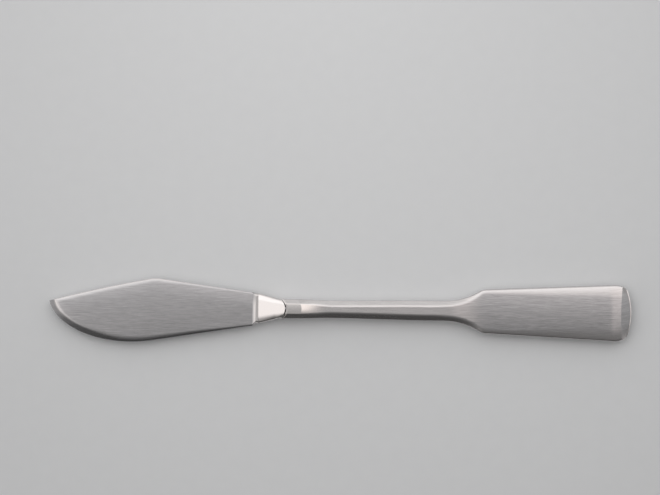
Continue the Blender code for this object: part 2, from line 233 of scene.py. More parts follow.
def rim_fall(points, line, rim, roll_slope):
    """How far the surface has fallen at each point towards one side of the outline."""
    gap, x = line_distance(points, line)
    bevel, roll, slope = rim(x)
    left = 1 - np.clip((gap - bevel) / roll, 0, 1)
    return roll_slope * roll / 2 * left ** 2 + slope * np.clip(bevel - gap, 0, None)


def rim_lines(line, rim, side):
    """The outline moved in to each step of its bevel and then of its roll."""
    bevel, roll, slope = rim(line[:, 0])
    lines = [inset(line, bevel * step / BEVEL_STEPS, side) for step in range(BEVEL_STEPS)]
    lines += [inset(line, bevel + roll * step / ROLL_STEPS, side) for step in range(ROLL_STEPS + 1)]
    return lines


def blade_row(x, spine, belly, spine_lines, belly_lines):
    """Places across the blade, from the edge to the back, crowded on the rims. Near the tip the rims meet."""
    lower = [np.interp(x, line[:, 0], line[:, 1]) if x >= line[0, 0] else math.inf for line in belly_lines]
    upper = [np.interp(x, line[:, 0], line[:, 1]) if x >= line[0, 0] else -math.inf for line in spine_lines]
    if lower[-1] > upper[-1]:
        across = np.linspace(lower[0], upper[0], MITRE_STEPS)
        points = np.column_stack([np.full(MITRE_STEPS, x), across])
        lean = rim_fall(points, belly, belly_rim, BELLY_ROLL_SLOPE)
        lean -= rim_fall(points, spine, spine_rim, SPINE_ROLL_SLOPE)
        level = np.abs(lean)
        meeting = across[level == level.min()].mean()
        lower = np.minimum(lower, meeting)
        upper = np.maximum(upper, meeting)
    middle = np.linspace(lower[-1], upper[-1], FIELD_COLUMNS + 1)[1:-1]
    return np.concatenate([lower, middle, upper[::-1]])


def blade_grid():
    """Upper side of the blade and collar: places, half thicknesses and polish."""
    spine = spread(spine_line(), OUTLINE_POINTS)
    belly = spread(belly_line(), OUTLINE_POINTS)
    spine_lines = rim_lines(spine, spine_rim, -1)
    belly_lines = rim_lines(belly, belly_rim, 1)
    places = []
    heights = []
    polish = []
    for x in BLADE_LENGTH * np.linspace(0, 1, BLADE_ROWS + 1) ** ROW_CROWDING:
        across = blade_row(x, spine, belly, spine_lines, belly_lines)
        row = np.column_stack([np.full_like(across, x), across])
        spine_fall = rim_fall(row, spine, spine_rim, SPINE_ROLL_SLOPE)
        belly_fall = rim_fall(row, belly, belly_rim, BELLY_ROLL_SLOPE)
        buffed = np.maximum(spine_fall, belly_fall * ease(1, 0, x / BELLY_POLISH_END))
        sag = (across - (across[0] + across[-1]) / 2) ** 2 / (2 * BLADE_CROWN_RADIUS)
        near_back = 1 - np.clip(line_distance(row, spine)[0] / BACK_FULL_WIDTH, 0, 1)
        sag += BACK_FULL_SLOPE * BACK_FULL_WIDTH / 2 * near_back ** 2
        places.append(row)
        heights.append(BLADE_THICKNESS / 2 - sag - np.maximum(spine_fall, belly_fall))
        ground = np.clip(belly_fall / POLISHED_FALL - 1, 0, 1)
        polish.append(RIM_POLISH * np.clip(buffed / POLISHED_FALL, 0, 1) * (1 - ground))

    turns = np.linspace(0, math.pi / 2, BEVEL_STEPS + ROLL_STEPS + 1)
    side = COLLAR_WIDTH / 2 - COLLAR_SIDE_ROUND * (1 - np.cos(turns))
    middle = np.linspace(-side[-1], side[-1], FIELD_COLUMNS + 1)[1:-1]
    across = np.concatenate([-side, middle, side[::-1]])
    rise = np.concatenate([np.sin(turns), np.ones_like(middle), np.sin(turns)[::-1]])
    for x in (BLADE_LENGTH + COLLAR_CHAMFER, BLADE_LENGTH + COLLAR_CHAMFER + COLLAR_LAND + SEAM_FILL):
        places.append(np.column_stack([np.full_like(across, x), across]))
        heights.append((COLLAR_EDGE + (COLLAR_THICKNESS - COLLAR_EDGE) * rise) / 2)
        polish.append(np.ones_like(across))
    return np.array(places), np.array(heights), np.array(polish)


def make_blade():
    """One closed mesh: both sides, the edge between them, the collar's back face and the tang."""
    places, heights, polish = blade_grid()
    row_count, column_count = heights.shape
    shape = bmesh.new()
    uv_layer = shape.loops.layers.uv.new("UVMap")
    polish_layer = shape.verts.layers.float.new("polish")
    marks = {}

    def add_vertex(x, y, z, around, shine):
        vertex = shape.verts.new(axis + Vector((x, y, z)))
        vertex[polish_layer] = shine
        marks[vertex] = (x / BLADE_LENGTH, around)
        return vertex

    rings = []
    for row in range(row_count):
        ring = []
        for side, order in ((1, range(column_count)), (-1, range(column_count - 1, -1, -1))):
            for column in order:
                x, y = places[row, column]
                around = len(ring) / (2 * column_count)
                ring.append(add_vertex(x, y, side * heights[row, column], around, polish[row, column]))
        rings.append(ring)
    back = [vertex.co - axis for vertex in rings[-1]]
    angles = [math.atan2(point.z, point.y) for point in back]
    tang_end = blade_high.x - axis.x
    for x, radius in (
        (back[0].x, TANG_RADIUS),
        (tang_end - TANG_POINT, TANG_RADIUS),
        (tang_end, TANG_RADIUS - TANG_POINT),
        (tang_end, 0.0),
    ):
        ring = []
        for angle in angles:
            around = len(ring) / len(angles)
            ring.append(add_vertex(x, radius * math.cos(angle), radius * math.sin(angle), around, 0.0))
        rings.append(ring)
    for near, far in zip(rings, rings[1:]):
        for i in range(len(near)):
            j = (i + 1) % len(near)
            face = shape.faces.new((near[i], near[j], far[j], far[i]))
            for loop in face.loops:
                u, v = marks[loop.vert]
                wrapped = j == 0 and loop.vert in (near[j], far[j])
                loop[uv_layer].uv = (u, 1.0 if wrapped else v)
    bmesh.ops.remove_doubles(shape, verts=shape.verts, dist=MERGE)
    bmesh.ops.dissolve_degenerate(shape, edges=shape.edges, dist=MERGE)
    bmesh.ops.recalc_face_normals(shape, faces=shape.faces)
    mesh = bpy.data.meshes.new("blade_body")
    shape.to_mesh(mesh)
    shape.free()
    mesh.shade_smooth()
    mesh.set_sharp_from_angle(angle=SHARP_ANGLE)
    blade = bpy.data.objects.new("blade_body", mesh)
    bpy.context.scene.collection.objects.link(blade)
    return blade


def colour(code):
    """An sRGB hex colour as the linear RGBA that a node takes."""
    channels = [int(code[place:place + 2], 16) / 255 for place in (1, 3, 5)]
    linear = [c / 12.92 if c <= 0.04045 else ((c + 0.055) / 1.055) ** 2.4 for c in channels]
    return (*linear, 1.0)


def add_node(tree, kind, inputs=None, **settings):
    """Add one node with its settings. An input is a value, an output socket, or a node's first output."""
    node = tree.nodes.new(kind)
    for name, value in settings.items():
        setattr(node, name, value)
    for name, value in (inputs or {}).items():
        if isinstance(value, bpy.types.Node):
            value = value.outputs[0]
        if isinstance(value, bpy.types.NodeSocket):
            tree.links.new(value, node.inputs[name])
        else:
            node.inputs[name].default_value = value
    return node


DARK_SCRATCH = "#A9A7A8"
BRIGHT_SCRATCH = "#CBC9CA"
BUFFED_STEEL = "#E6E1DF"
SCRATCHES = (
    # width and length of the coarse and of the fine scratches
    (0.00015, 0.011),
    (0.00007, 0.003),
)
# Sets the scratches of neighbouring lanes far apart in the noise
SCRATCH_SHIFT = 1000.0
NOISE_MIDDLE = 0.5
GRAIN_REACH = 1.0
GRAIN_DEPTH = 0.000001
GRAIN_ROUGHNESS = 0.1
# Turns the sheen, which would lie along the scratches, across them
QUARTER_TURN = 0.25


def steel(name, brushed_roughness, polished_roughness, grain_contrast, anisotropy):
    """Stainless steel whose attribute polish runs from 0, belt-brushed along X, to 1, buffed.

    Brushed, it looks silky grey with fine streaks, and its sheen is drawn out across them. Buffed, it mirrors
    the room. A belt's scratches are about 0.03 mm wide, but are drawn two to five times as wide, to show.
    """
    material = bpy.data.materials.new(name)
    material.use_nodes = True
    tree = material.node_tree
    shader = tree.nodes["Principled BSDF"]
    place = add_node(tree, "ShaderNodeTexCoord").outputs["Object"]
    along = add_node(tree, "ShaderNodeSeparateXYZ", {"Vector": place}).outputs
    girth = add_node(tree, "ShaderNodeMath", {0: along["Y"], 1: along["Z"]}, operation="ADD")
    polish = add_node(tree, "ShaderNodeAttribute", attribute_name="polish").outputs["Fac"]
    grain = 0.0
    for width, length in SCRATCHES:
        lane_place = add_node(tree, "ShaderNodeMath", {0: girth, 1: width}, operation="DIVIDE")
        lane = add_node(tree, "ShaderNodeMath", {0: lane_place}, operation="FLOOR")
        chance = add_node(tree, "ShaderNodeTexWhiteNoise", {"W": lane}, noise_dimensions="1D")
        run = add_node(tree, "ShaderNodeMath", {0: along["X"], 1: length}, operation="DIVIDE")
        run_place = add_node(
            tree,
            "ShaderNodeMath",
            {0: chance.outputs["Value"], 1: SCRATCH_SHIFT, 2: run},
            operation="MULTIPLY_ADD",
        )
        scratch = add_node(tree, "ShaderNodeTexNoise", {"W": run_place, "Scale": 1.0}, noise_dimensions="1D")
        depth = add_node(tree, "ShaderNodeMath", {0: scratch, 1: NOISE_MIDDLE}, operation="SUBTRACT")
        grain = add_node(
            tree, "ShaderNodeMath", {0: depth, 1: grain_contrast, 2: grain}, operation="MULTIPLY_ADD"
        )
    brushed = add_node(tree, "ShaderNodeMath", {0: 1.0, 1: polish}, operation="SUBTRACT")
    tone = add_node(
        tree,
        "ShaderNodeMapRange",
        {"Value": grain, "From Min": -GRAIN_REACH, "From Max": GRAIN_REACH},
    )
    brushed_colour = add_node(
        tree,
        "ShaderNodeMix",
        {"Factor": tone, 6: colour(DARK_SCRATCH), 7: colour(BRIGHT_SCRATCH)},
        data_type="RGBA",
    )
    final_colour = add_node(
        tree,
        "ShaderNodeMix",
        {"Factor": polish, 6: brushed_colour.outputs[2], 7: colour(BUFFED_STEEL)},
        data_type="RGBA",
    )
    tree.links.new(final_colour.outputs[2], shader.inputs["Base Color"])
    rough = add_node(
        tree,
        "ShaderNodeMapRange",
        {"Value": polish, "To Min": brushed_roughness, "To Max": polished_roughness},
    )
    rough_spread = add_node(
        tree, "ShaderNodeMath", {0: grain, 1: GRAIN_ROUGHNESS, 2: 1.0}, operation="MULTIPLY_ADD"
    )
    roughness = add_node(tree, "ShaderNodeMath", {0: rough, 1: rough_spread}, operation="MULTIPLY")
    tree.links.new(roughness.outputs[0], shader.inputs["Roughness"])
    bump = add_node(
        tree,
        "ShaderNodeBump",
        {"Strength": brushed, "Distance": GRAIN_DEPTH, "Height": grain},
    )
    tree.links.new(bump.outputs[0], shader.inputs["Normal"])
    tangent = add_node(tree, "ShaderNodeTangent", direction_type="UV_MAP", uv_map="UVMap")
    tree.links.new(tangent.outputs[0], shader.inputs["Tangent"])
    shader.inputs["Metallic"].default_value = 1.0
    shader.inputs["Anisotropic"].default_value = anisotropy
    shader.inputs["Anisotropic Rotation"].default_value = QUARTER_TURN
    return material


blade = make_blade()
blade_steel = steel(
    "brushed_blade_steel",
    brushed_roughness=0.22,
    polished_roughness=0.16,
    grain_contrast=1.7,
    anisotropy=0.6,
)
blade.data.materials.append(blade_steel)
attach(blade, "root")
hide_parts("blade")


# Bolster
# A stainless steel ferrule, pressed on the tang and silver-soldered to the handle. Its upper and lower ramps
# are slightly crowned and climb from the collar's thickness to the handle's. It is buffed bright.

# Plan, seam and bore
BOLSTER_LENGTH = 0.0077
BOLSTER_WAIST = 0.0047
BOLSTER_WAIST_WIDTH = 0.0063
CREST_WIDTH = 0.0056
CREST_THICKNESS = 0.0054
SEAM_RADIUS = 0.0030
BORE_RADIUS = 0.0012
SEAM_GAP = 0.00005
BACK_EDGE_ROUND = 0.00006

# Each ramp gets narrower and fuller on its way back
RAMP_FRONT_FLAT = 0.0040
RAMP_BACK_FLAT = 0.0016
RAMP_ROLL = 0.016
RAMP_LEAN = math.radians(4)
RAMP_FRONT_RADIUS = 0.022
RAMP_BACK_RADIUS = 0.006
RAMP_CORNER = 0.0005

# How finely the mesh is drawn, and which share of a quarter's points draws each zone of a section
RAMP_ROWS = 40
EDGE_STEPS = 4
POINTS_AROUND = 144
SECTION_ZONES = (
    ("flat", 0.0, 0.2),
    ("roll", 0.2, 0.5),
    ("facet", 0.5, 0.6),
    ("corner", 0.6, 0.88),
    ("side", 0.88, 1.0),
)
SECTION_SIZES = (
    "half_height", "half_flat", "roll", "lean", "facet", "corner", "fullness", "bow", "crown", "polish",
    "edge_polish",
)


def station(
    x, half_width, half_height, half_flat, roll, lean, corner,
    fullness=1.0, bow=0.0, crown=0.0, polish=1.0, edge_polish=1.0,
):
    """One place along the knife, x back from the tip, with the sizes of the section there.

    From the middle of its flat the section rolls over to a leaning facet, then turns a corner into an upright
    side. At a distance y from the axis it runs forward by bow * y * y and drops by crown * y * y. Fullness 0
    squeezes it to a line. Over the roll the polish changes to the edge's.
    """
    facet_width = half_width - half_flat - roll * math.sin(lean) - corner * (1 - math.sin(lean))
    return dict(
        x=x,
        half_height=half_height,
        half_flat=half_flat,
        roll=roll,
        lean=lean,
        facet=max(facet_width, 0.0) / math.cos(lean),
        corner=corner,
        fullness=fullness,
        bow=bow,
        crown=crown,
        polish=polish,
        edge_polish=edge_polish,
    )


def round_station(x, radius, bow=0.0):
    """A round section, as in a bore."""
    stop = station(x, radius, radius, 0.0, radius, 0.0, 0.0, bow=bow)
    return dict(stop, lean=math.pi / 2, facet=0.0)


# Geometry nodes: lay a ring round each point of a rail, by the sizes that the point carries
sweep = bpy.data.node_groups.new("section_sweep", "GeometryNodeTree")
sweep.interface.new_socket("Rail", in_out="INPUT", socket_type="NodeSocketGeometry")
sweep_sockets = {}
for socket_name, socket_kind in (
    ("Points around", "NodeSocketInt"),
    ("Merge distance", "NodeSocketFloat"),
    ("Sharp angle", "NodeSocketFloat"),
    ("Material", "NodeSocketMaterial"),
):
    made = sweep.interface.new_socket(socket_name, in_out="INPUT", socket_type=socket_kind)
    sweep_sockets[socket_name] = made.identifier
sweep.interface.new_socket("Piece", in_out="OUTPUT", socket_type="NodeSocketGeometry")
given = add_node(sweep, "NodeGroupInput").outputs
rail_size = add_node(sweep, "GeometryNodeAttributeDomainSize", {"Geometry": given["Rail"]})
columns = add_node(sweep, "ShaderNodeMath", {0: given["Points around"], 1: 1.0}, operation="ADD")
grid = add_node(
    sweep,
    "GeometryNodeMeshGrid",
    {"Vertices X": rail_size.outputs["Point Count"], "Vertices Y": columns},
)
index = add_node(sweep, "GeometryNodeInputIndex")
row = add_node(sweep, "FunctionNodeIntegerMath", {0: index, 1: columns}, operation="DIVIDE_FLOOR")
column = add_node(sweep, "FunctionNodeIntegerMath", {0: index, 1: columns}, operation="MODULO")
size = {}
for size_name in SECTION_SIZES:
    stored = add_node(sweep, "GeometryNodeInputNamedAttribute", {"Name": size_name}, data_type="FLOAT")
    size[size_name] = add_node(
        sweep, "GeometryNodeSampleIndex", {"Geometry": given["Rail"], "Value": stored, "Index": row}
    )
rail_place = add_node(
    sweep,
    "GeometryNodeSampleIndex",
    {"Geometry": given["Rail"], "Index": row},
    data_type="FLOAT_VECTOR",
)
sweep.links.new(add_node(sweep, "GeometryNodeInputPosition").outputs[0], rail_place.inputs["Value"])
quarter_count = add_node(sweep, "ShaderNodeMath", {0: given["Points around"], 1: 4.0}, operation="DIVIDE")
quarters = add_node(sweep, "ShaderNodeMath", {0: column, 1: quarter_count}, operation="DIVIDE")
share = add_node(sweep, "ShaderNodeMath", {0: quarters, 1: 1.0}, operation="PINGPONG")
zone = {}
for zone_name, zone_start, zone_end in SECTION_ZONES:
    zone[zone_name] = add_node(
        sweep, "ShaderNodeMapRange", {"Value": share, "From Min": zone_start, "From Max": zone_end}
    )
lean = size["lean"]
lean_sine = add_node(sweep, "ShaderNodeMath", {0: lean}, operation="SINE")
lean_cosine = add_node(sweep, "ShaderNodeMath", {0: lean}, operation="COSINE")
roll_turn = add_node(sweep, "ShaderNodeMath", {0: lean, 1: zone["roll"]}, operation="MULTIPLY")
roll_sine = add_node(sweep, "ShaderNodeMath", {0: roll_turn}, operation="SINE")
roll_cosine = add_node(sweep, "ShaderNodeMath", {0: roll_turn}, operation="COSINE")
roll_fall = add_node(sweep, "ShaderNodeMath", {0: 1.0, 1: roll_cosine}, operation="SUBTRACT")
facet_run = add_node(sweep, "ShaderNodeMath", {0: size["facet"], 1: zone["facet"]}, operation="MULTIPLY")
corner_rest = add_node(sweep, "ShaderNodeMath", {0: math.pi / 2, 1: lean}, operation="SUBTRACT")
corner_turn = add_node(
    sweep, "ShaderNodeMath", {0: corner_rest, 1: zone["corner"], 2: lean}, operation="MULTIPLY_ADD"
)
corner_sine = add_node(sweep, "ShaderNodeMath", {0: corner_turn}, operation="SINE")
corner_cosine = add_node(sweep, "ShaderNodeMath", {0: corner_turn}, operation="COSINE")
corner_out = add_node(sweep, "ShaderNodeMath", {0: corner_sine, 1: lean_sine}, operation="SUBTRACT")
corner_fall = add_node(sweep, "ShaderNodeMath", {0: lean_cosine, 1: corner_cosine}, operation="SUBTRACT")
out_y = add_node(sweep, "ShaderNodeMath", {0: size["half_flat"], 1: zone["flat"]}, operation="MULTIPLY")
fall = add_node(sweep, "ShaderNodeMath", {0: size["roll"], 1: roll_fall}, operation="MULTIPLY")
for length, across, down in (
    (size["roll"], roll_sine, None),
    (facet_run, lean_cosine, lean_sine),
    (size["corner"], corner_out, corner_fall),
):
    out_y = add_node(sweep, "ShaderNodeMath", {0: length, 1: across, 2: out_y}, operation="MULTIPLY_ADD")
    if down is not None:
        fall = add_node(sweep, "ShaderNodeMath", {0: length, 1: down, 2: fall}, operation="MULTIPLY_ADD")
square_y = add_node(sweep, "ShaderNodeMath", {0: out_y, 1: out_y}, operation="MULTIPLY")
fall = add_node(sweep, "ShaderNodeMath", {0: size["crown"], 1: square_y, 2: fall}, operation="MULTIPLY_ADD")
side_top = add_node(sweep, "ShaderNodeMath", {0: size["half_height"], 1: fall}, operation="SUBTRACT")
side_left = add_node(sweep, "ShaderNodeMath", {0: 1.0, 1: zone["side"]}, operation="SUBTRACT")
out_z = add_node(sweep, "ShaderNodeMath", {0: side_top, 1: side_left}, operation="MULTIPLY")
out_z = add_node(sweep, "ShaderNodeMath", {0: out_z, 1: size["fullness"]}, operation="MULTIPLY")
from_right = add_node(sweep, "ShaderNodeMath", {0: 2.0, 1: quarters}, operation="SUBTRACT")
y_sign = add_node(sweep, "ShaderNodeMath", {0: from_right}, operation="SIGN")
from_under = add_node(sweep, "ShaderNodeMath", {0: from_right}, operation="ABSOLUTE")
above = add_node(sweep, "ShaderNodeMath", {0: from_under, 1: 1.0}, operation="SUBTRACT")
z_sign = add_node(sweep, "ShaderNodeMath", {0: above}, operation="SIGN")
y = add_node(sweep, "ShaderNodeMath", {0: out_y, 1: y_sign}, operation="MULTIPLY")
z = add_node(sweep, "ShaderNodeMath", {0: out_z, 1: z_sign}, operation="MULTIPLY")
forward = add_node(sweep, "ShaderNodeMath", {0: size["bow"], 1: square_y}, operation="MULTIPLY")
back = add_node(sweep, "ShaderNodeMath", {0: forward, 1: -1.0}, operation="MULTIPLY")
offset = add_node(sweep, "ShaderNodeCombineXYZ", {"X": back, "Y": y, "Z": z})
place = add_node(sweep, "ShaderNodeVectorMath", {0: rail_place, 1: offset}, operation="ADD")
moved = add_node(sweep, "GeometryNodeSetPosition", {"Geometry": grid, "Position": place})
polish_rise = add_node(
    sweep, "ShaderNodeMath", {0: size["edge_polish"], 1: size["polish"]}, operation="SUBTRACT"
)
polish_here = add_node(
    sweep, "ShaderNodeMath", {0: zone["roll"], 1: polish_rise, 2: size["polish"]}, operation="MULTIPLY_ADD"
)
polished = add_node(
    sweep,
    "GeometryNodeStoreNamedAttribute",
    {"Geometry": moved, "Name": "polish", "Value": polish_here},
    data_type="FLOAT",
    domain="POINT",
)
mapped = add_node(
    sweep,
    "GeometryNodeStoreNamedAttribute",
    {"Geometry": polished, "Name": "UVMap", "Value": grid.outputs["UV Map"]},
    data_type="FLOAT2",
    domain="CORNER",
)
closed = add_node(
    sweep, "GeometryNodeMergeByDistance", {"Geometry": mapped, "Distance": given["Merge distance"]}
)
smooth = add_node(sweep, "GeometryNodeSetShadeSmooth", {"Geometry": closed, "Shade Smooth": True})
bend = add_node(sweep, "GeometryNodeInputMeshEdgeAngle")
sharp = add_node(sweep, "FunctionNodeCompare", {0: bend, 1: given["Sharp angle"]}, operation="GREATER_THAN")
creased = add_node(
    sweep,
    "GeometryNodeSetShadeSmooth",
    {"Geometry": smooth, "Selection": sharp, "Shade Smooth": False},
    domain="EDGE",
)
real = add_node(sweep, "GeometryNodeRealizeInstances", {"Geometry": creased})
finished = add_node(sweep, "GeometryNodeSetMaterial", {"Geometry": real, "Material": given["Material"]})
add_node(sweep, "NodeGroupOutput", {"Piece": finished})


def sweep_piece(name, stations, material):
    """A closed piece lofted through its stations, as a plain mesh object."""
    rail = bpy.data.meshes.new(name + "_rail")
    rail.from_pydata([axis + Vector((stop["x"], 0, 0)) for stop in stations], [], [])
    for size_name in SECTION_SIZES:
        values = rail.attributes.new(size_name, "FLOAT", "POINT")
        values.data.foreach_set("value", [stop[size_name] for stop in stations])
    piece = bpy.data.objects.new(name, rail)
    bpy.context.scene.collection.objects.link(piece)
    modifier = piece.modifiers.new("section_sweep", "NODES")
    modifier.node_group = sweep
    modifier[sweep_sockets["Points around"]] = POINTS_AROUND
    modifier[sweep_sockets["Merge distance"]] = MERGE
    modifier[sweep_sockets["Sharp angle"]] = SHARP_ANGLE
    modifier[sweep_sockets["Material"]] = material
    graph = bpy.context.evaluated_depsgraph_get()
    mesh = bpy.data.meshes.new_from_object(piece.evaluated_get(graph))
    piece.modifiers.clear()
    piece.data = mesh
    bpy.data.meshes.remove(rail)
    mesh.name = name
    return piece


seam_bow = 1 / (2 * SEAM_RADIUS)
bolster_front = BLADE_LENGTH + COLLAR_CHAMFER + COLLAR_LAND + SEAM_FILL + SEAM_GAP
bolster_back = bolster_high.x - axis.x


def bolster_half_width(x):
    """Plan of the bolster: straight sides that turn along the knife behind the waist."""
    start = COLLAR_WIDTH / 2
    waist = BOLSTER_WAIST_WIDTH / 2
    back = CREST_WIDTH / 2
    slope = (waist - start) / BOLSTER_WAIST
    share = (x - BOLSTER_WAIST) / (BOLSTER_LENGTH - BOLSTER_WAIST)
    if share < 0:
        return start + slope * x
    fall = slope * (BOLSTER_LENGTH - BOLSTER_WAIST)
    return waist + fall * share * (1 - share) ** 2 + ease(0, back - waist, share)


def bolster_station(x, trim=0.0):
    """The section of the bolster at a distance behind its front; trim takes it in to round off an edge."""
    share = x / BOLSTER_LENGTH
    half_height = (COLLAR_THICKNESS + (CREST_THICKNESS - COLLAR_THICKNESS) * share) / 2
    half_flat = (RAMP_FRONT_FLAT + (RAMP_BACK_FLAT - RAMP_FRONT_FLAT) * share) / 2
    bow = seam_bow * max(x - BOLSTER_WAIST, 0.0) / (BOLSTER_LENGTH - BOLSTER_WAIST)
    return station(
        bolster_back - BOLSTER_LENGTH + x,
        bolster_half_width(x) - trim,
        half_height - trim,
        half_flat,
        RAMP_ROLL,
        RAMP_LEAN,
        RAMP_CORNER,
        bow=bow,
        crown=1 / (2 * (RAMP_FRONT_RADIUS + (RAMP_BACK_RADIUS - RAMP_FRONT_RADIUS) * share)),
    )


bolster_stops = [round_station(bolster_front, BORE_RADIUS)]
for step in range(RAMP_ROWS + 1):
    bolster_stops.append(bolster_station((BOLSTER_LENGTH - BACK_EDGE_ROUND) * step / RAMP_ROWS))
for step in range(1, EDGE_STEPS + 1):
    angle = math.pi / 2 * step / EDGE_STEPS
    x = BOLSTER_LENGTH - BACK_EDGE_ROUND * (1 - math.sin(angle))
    bolster_stops.append(bolster_station(x, BACK_EDGE_ROUND * (1 - math.cos(angle))))
bolster_stops.append(round_station(bolster_back, BORE_RADIUS, bow=seam_bow))
bolster_stops.append(round_station(bolster_front, BORE_RADIUS))
# The first section of the ramps moves forward to the seam
bolster_stops[1]["x"] = bolster_front
bolster_steel = steel(
    "buffed_bolster_steel",
    brushed_roughness=0.2,
    polished_roughness=0.1,
    grain_contrast=2.0,
    anisotropy=0.2,
)
bolster = sweep_piece("bolster_body", bolster_stops, bolster_steel)
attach(bolster, "root")
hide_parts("bolster")


# Braze
# A thin cup of silver solder that holds the tang in the handle's socket. It has run in and frozen, so it is
# yellowish, dull and slightly pitted, and shows only when the handle is cut open.

BRAZE_DARK = "#C2B79C"
BRAZE_LIGHT = "#DED5BC"
BRAZE_ROUGHNESS = (0.4, 0.6)
PIT_SIZE = 0.0002
PIT_DEPTH = 0.00002
PIT_STRENGTH = 0.5
PIT_DETAIL = 3.0

braze_metal = bpy.data.materials.new("silver_braze")
braze_metal.use_nodes = True
braze_tree = braze_metal.node_tree
braze_shader = braze_tree.nodes["Principled BSDF"]
braze_place = add_node(braze_tree, "ShaderNodeTexCoord").outputs["Object"]
pits = add_node(
    braze_tree,
    "ShaderNodeTexNoise",
    {"Vector": braze_place, "Scale": 1 / PIT_SIZE, "Detail": PIT_DETAIL},
)
braze_colour = add_node(
    braze_tree,
    "ShaderNodeMix",
    {"Factor": pits, 6: colour(BRAZE_DARK), 7: colour(BRAZE_LIGHT)},
    data_type="RGBA",
)
braze_rough = add_node(
    braze_tree,
    "ShaderNodeMapRange",
    {"Value": pits, "To Min": BRAZE_ROUGHNESS[0], "To Max": BRAZE_ROUGHNESS[1]},
)
braze_bump = add_node(
    braze_tree,
    "ShaderNodeBump",
    {"Height": pits, "Strength": PIT_STRENGTH, "Distance": PIT_DEPTH},
)
braze_tree.links.new(braze_colour.outputs[2], braze_shader.inputs["Base Color"])
braze_tree.links.new(braze_rough.outputs[0], braze_shader.inputs["Roughness"])
braze_tree.links.new(braze_bump.outputs[0], braze_shader.inputs["Normal"])
braze_shader.inputs["Metallic"].default_value = 1.0
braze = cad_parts["tang_braze"]
braze.data.materials.clear()
braze.data.materials.append(braze_metal)


# Handle
# Solid stainless steel, drop-forged: a slim neck flares into a flat, slightly full spade, whose end is bent
# over and ground. The front of the neck is buffed with the bolster, and the spade is brushed lengthwise.

# The land behind the bolster, and the fall from it to the neck
LAND_LENGTH = 0.0045
LAND_FLAT = 0.0027
LAND_ROLL = 0.0006
LAND_CROWN_RADIUS = 0.035
NECK_FALL_LENGTH = 0.0080
ROLL_GROWTH = 0.5

# Neck
FACET_LEAN = math.radians(33)
FACET_ROLL = 0.0020
EDGE_CORNER = 0.0002
NECK_WIDTH = 0.0051
NECK_THICKNESS = 0.00405
NECK_FLAT = 0.0012
NECK_REAR_FLAT = 0.0019
NECK_POLISH = 0.5
EDGE_POLISH = 0.6
NECK_LENGTH = 0.0418
NECK_REAR_WIDTH = 0.0058
NECK_REAR_THICKNESS = 0.0039

# Flare, along which the handle thins to the spade
FLARE_LENGTH = 0.0175
FLARE_RADIUS = 0.0205
FLARE_CORNER = 0.0029
FLARE_RUN_ON = 0.0012
THIN_START = 0.0050
THIN_LENGTH = 0.0105

# Spade, whose rolled edges broaden towards the end
SPADE_FRONT_WIDTH = 0.0130
SPADE_LENGTH = 0.0385
SPADE_WIDTH = 0.0167
SPADE_THICKNESS = 0.0030
SPADE_FRONT_EDGE = 0.0010
SPADE_EDGE = 0.0036
SPADE_FRONT_LEAN = math.radians(9)
SPADE_LEAN = math.radians(5)
SPADE_CORNER = 0.0005
SPADE_CROWN_RADIUS = 0.10

# A band that dips a little before the end, and the ground end itself with its small corners and its lip
BAND_LENGTH = 0.0033
BAND_SLOPE = 0.074
BAND_BLEND = 0.0011
BAND_CROWN_SHARE = 1.3
END_LENGTH = 0.0030
END_RADIUS = 0.0190
END_CORNER = 0.0009
DRAW_IN_LENGTH = 0.0020
DRAW_IN = 0.0005
END_START_SLOPE = 0.25
END_LAST_SLOPE = 0.33
END_CROWN_SHARE = 0.46
END_SHARPENING = 0.8
END_LIP = 0.00022
END_LIP_SLOPE = 0.12
LIP_POLISH = 0.5
BEND_LINE_RADIUS = 0.085

# The solder groove behind the bolster, and the socket
SEAM_GROOVE = 0.00045
SEAM_DEPTH = 0.0004
SEAM_LEAN = math.radians(20)
HANDLE_EDGE_ROUND = 0.00002
SOCKET_RADIUS = 0.0018
SOCKET_CLEARANCE = 0.0003

# How finely the mesh is drawn
ROW_STEP = 0.0003
FLARE_ROWS = 58
END_ROWS = 20

handle_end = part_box("handle")[1].x - axis.x
handle_front = handle_end - END_LENGTH - SPADE_LENGTH - FLARE_LENGTH - NECK_LENGTH
socket_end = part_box("tang_braze")[1].x - axis.x + SOCKET_CLEARANCE


